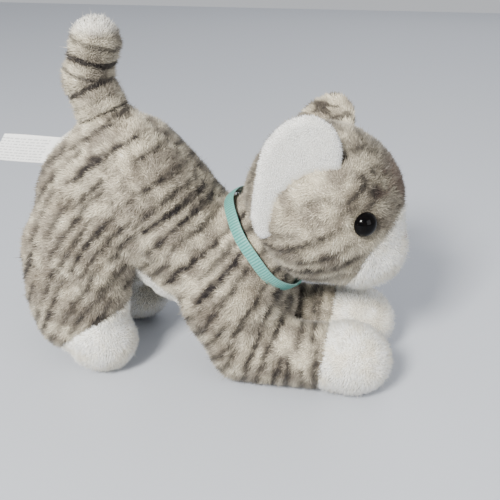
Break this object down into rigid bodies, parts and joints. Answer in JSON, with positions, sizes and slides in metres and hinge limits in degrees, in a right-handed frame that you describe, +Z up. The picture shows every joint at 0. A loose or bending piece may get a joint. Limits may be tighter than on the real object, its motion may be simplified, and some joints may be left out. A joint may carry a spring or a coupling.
{
  "type": "plush cat",
  "caption": "Crouching stuffed kitten with raised rump and tail, bendable neck, ears, tail and legs, a satin ribbon collar and a care label.",
  "frame": {"origin": "middle of the whole toy on the floor it stands on", "axes": "+Z up, the kitten faces -Y, its right side is -X"},
  "size_m": [0.075, 0.1818, 0.1486],
  "materials": {
    "tabby_plush": "short matt pile, cream with taupe stripes",
    "white_plush": "short matt pile, warm white",
    "belly_velour": "smooth short nap, off-white",
    "ear_velour": "smooth short nap, white",
    "fibre_filling": "loose polyester fibre",
    "eye_plastic": "glossy black",
    "washer_plastic": "natural nylon",
    "nose_thread": "embroidered satin stitch, dusty brown-pink",
    "ribbon_satin": "satin, pale teal",
    "label_satin": "woven satin tape, white"
  },
  "bodies": {
    "torso": {"body_panel_right": "tabby_plush", "body_panel_left": "tabby_plush", "belly_panel": "belly_velour", "body_stuffing": "fibre_filling"},
    "neck": {"neck_stuffing": "fibre_filling"},
    "head": {"forehead_panel": "tabby_plush", "head_panel_right": "tabby_plush", "head_panel_left": "tabby_plush", "muzzle_panel": "white_plush", "head_stuffing": "fibre_filling", "nose": "nose_thread", "mouth_stitch": "nose_thread", "eye_right": "eye_plastic", "eye_left": "eye_plastic", "eye_washer_right": "washer_plastic", "eye_washer_left": "washer_plastic"},
    "ear_right": {"ear_right_inner": "ear_velour", "ear_right_outer": "tabby_plush"},
    "ear_left": {"ear_left_inner": "ear_velour", "ear_left_outer": "tabby_plush"},
    "tail_lower": {"tail_lower_panel": "tabby_plush", "tail_lower_stuffing": "fibre_filling"},
    "tail_upper": {"tail_upper_panel": "tabby_plush", "tail_upper_stuffing": "fibre_filling"},
    "front_leg_right": {"front_leg_right_panel": "tabby_plush", "front_paw_right_panel": "white_plush", "front_leg_right_stuffing": "fibre_filling"},
    "front_leg_left": {"front_leg_left_panel": "tabby_plush", "front_paw_left_panel": "white_plush", "front_leg_left_stuffing": "fibre_filling"},
    "hind_leg_right": {"hind_leg_right_panel": "tabby_plush", "hind_paw_right_panel": "white_plush", "hind_leg_right_stuffing": "fibre_filling"},
    "hind_leg_left": {"hind_leg_left_panel": "tabby_plush", "hind_paw_left_panel": "white_plush", "hind_leg_left_stuffing": "fibre_filling"},
    "collar": {"ribbon_collar": "ribbon_satin", "ribbon_tack": "ribbon_satin"},
    "label": {"care_label": "label_satin"}
  },
  "joints": [
    {"name": "head_nod", "type": "hinge", "parent": "torso", "child": "neck", "pos_m": [0, -0.0335, 0.062], "axis": [1, 0, 0], "range_deg": [-8, 5], "stiffness_Nm_per_rad": 2},
    {"name": "head_turn", "type": "hinge", "parent": "neck", "child": "head", "pos_m": [0, -0.0335, 0.062], "axis": [0, -0.7986, 0.6018], "range_deg": [-25, 25], "stiffness_Nm_per_rad": 1},
    {"name": "ear_right_fold", "type": "hinge", "parent": "head", "child": "ear_right", "pos_m": [-0.02275, -0.0485, 0.089], "axis": [-0.1522, 0.7963, -0.5855], "range_deg": [-30, 4], "stiffness_Nm_per_rad": 0.02},
    {"name": "ear_left_fold", "type": "hinge", "parent": "head", "child": "ear_left", "pos_m": [0.02275, -0.0485, 0.089], "axis": [0.1522, 0.7963, -0.5855], "range_deg": [-12, 20], "stiffness_Nm_per_rad": 0.02},
    {"name": "tail_sway", "type": "hinge", "parent": "torso", "child": "tail_lower", "pos_m": [0, 0.0365, 0.106], "axis": [0, 1, 0], "range_deg": [-20, 20], "stiffness_Nm_per_rad": 0.3},
    {"name": "tail_curl", "type": "hinge", "parent": "tail_lower", "child": "tail_upper", "pos_m": [0, 0.0435, 0.1225], "axis": [1, 0, 0], "range_deg": [-15, 20], "stiffness_Nm_per_rad": 0.15},
    {"name": "front_leg_right_swing", "type": "hinge", "parent": "torso", "child": "front_leg_right", "pos_m": [-0.017, -0.019, 0.033], "axis": [1, 0, 0], "range_deg": [-6, 8], "stiffness_Nm_per_rad": 0.8},
    {"name": "front_leg_left_swing", "type": "hinge", "parent": "torso", "child": "front_leg_left", "pos_m": [0.017, -0.019, 0.033], "axis": [1, 0, 0], "range_deg": [-6, 8], "stiffness_Nm_per_rad": 0.8},
    {"name": "hind_leg_right_swing", "type": "hinge", "parent": "torso", "child": "hind_leg_right", "pos_m": [-0.023, 0.0465, 0.052], "axis": [1, 0, 0], "range_deg": [-8, 8], "stiffness_Nm_per_rad": 3},
    {"name": "hind_leg_left_swing", "type": "hinge", "parent": "torso", "child": "hind_leg_left", "pos_m": [0.023, 0.0465, 0.052], "axis": [1, 0, 0], "range_deg": [-8, 8], "stiffness_Nm_per_rad": 3},
    {"name": "collar_slide", "type": "hinge", "parent": "torso", "child": "collar", "pos_m": [0, -0.0335, 0.062], "axis": [0, -0.7986, 0.6018], "range_deg": [-90, 90]},
    {"name": "label_flap", "type": "hinge", "parent": "torso", "child": "label", "pos_m": [0, 0.0628, 0.0917], "axis": [0, -0.5531, 0.8331], "range_deg": [-30, 30], "stiffness_Nm_per_rad": 0.0004}
  ]
}
